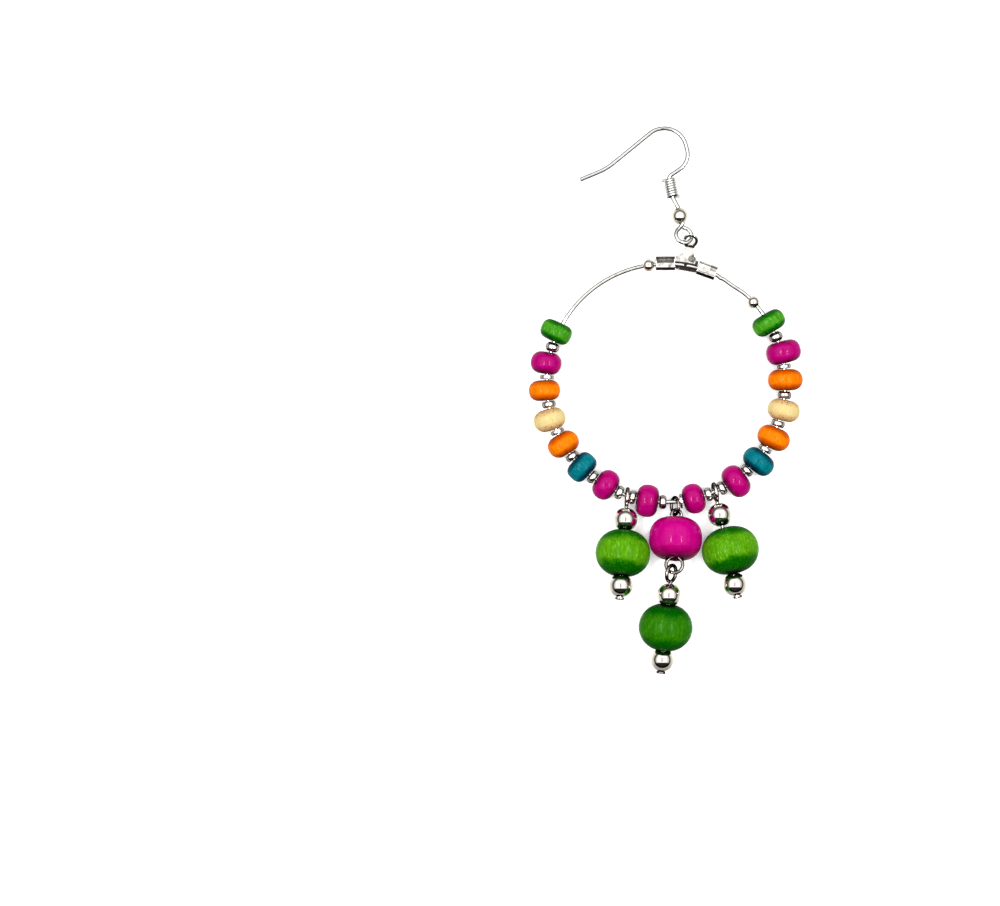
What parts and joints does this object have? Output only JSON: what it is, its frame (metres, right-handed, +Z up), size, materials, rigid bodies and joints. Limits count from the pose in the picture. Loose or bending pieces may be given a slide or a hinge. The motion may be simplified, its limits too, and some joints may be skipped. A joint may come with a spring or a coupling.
{
  "type": "beaded hoop earring",
  "caption": "Drop earring: a wire hoop strung with coloured wooden rondelles and silver spacers, with big beads hanging below and an ear wire above.",
  "frame": {"origin": "on the surface that the earring lies on, under the middle of its outline", "axes": "+Y from the beads to the ear wire, +X across the hoop to the right seen from above, +Z up off the surface"},
  "size_m": [0.0458, 0.0914, 0.0096],
  "materials": {
    "bright_silver": "bright silver plate",
    "stamped_metal": "silver plate with a hammered face and darker folds",
    "steel_wire": "drawn spring wire, dull grey",
    "dark_silver": "darker silver wire, smooth",
    "silver_ball": "polished silver plate",
    "silver_spacer": "polished silver plate",
    "green_bead": "dyed and lacquered wood with fine grain",
    "magenta_bead": "dyed and lacquered wood, glossy",
    "green_rondelle": "dyed and lacquered wood with fine grain",
    "magenta_rondelle": "dyed and lacquered wood, glossy",
    "orange_rondelle": "dyed and lacquered wood with fine grain",
    "teal_rondelle": "dyed and lacquered wood with fine grain",
    "natural_rondelle": "clear lacquer on pale wood with grain"
  },
  "bodies": {
    "root": {"ear_hook": "bright_silver", "hook_coil": "bright_silver", "hook_ball": "bright_silver", "stopper_1": "bright_silver", "stopper_2": "bright_silver", "connector": "stamped_metal", "hoop_wire": "steel_wire", "jump_ring": "dark_silver", "pin_left": "dark_silver", "pin_right": "dark_silver", "pin_tail": "dark_silver", "eye_pin": "dark_silver", "bead_left": "green_bead", "bead_right": "green_bead", "bead_tail": "green_bead", "bead_middle": "magenta_bead", "ball_left_upper": "silver_ball", "ball_left_lower": "silver_ball", "ball_right_upper": "silver_ball", "ball_right_lower": "silver_ball", "ball_tail_upper": "silver_ball", "ball_tail_lower": "silver_ball", "rondelle_1": "green_rondelle", "rondelle_2": "magenta_rondelle", "rondelle_3": "orange_rondelle", "rondelle_4": "natural_rondelle", "rondelle_5": "orange_rondelle", "rondelle_6": "teal_rondelle", "rondelle_7": "magenta_rondelle", "rondelle_8": "magenta_rondelle", "rondelle_9": "magenta_rondelle", "rondelle_10": "magenta_rondelle", "rondelle_11": "teal_rondelle", "rondelle_12": "orange_rondelle", "rondelle_13": "natural_rondelle", "rondelle_14": "orange_rondelle", "rondelle_15": "magenta_rondelle", "rondelle_16": "green_rondelle", "spacer_1": "silver_spacer", "spacer_2": "silver_spacer", "spacer_3": "silver_spacer", "spacer_4": "silver_spacer", "spacer_5": "silver_spacer", "spacer_6": "silver_spacer", "spacer_7": "silver_spacer", "spacer_8": "silver_spacer", "spacer_9": "silver_spacer", "spacer_10": "silver_spacer", "spacer_11": "silver_spacer", "spacer_12": "silver_spacer", "spacer_13": "silver_spacer", "spacer_14": "silver_spacer", "spacer_15": "silver_spacer", "spacer_16": "silver_spacer", "spacer_17": "silver_spacer", "spacer_18": "silver_spacer"}
  },
  "joints": []
}
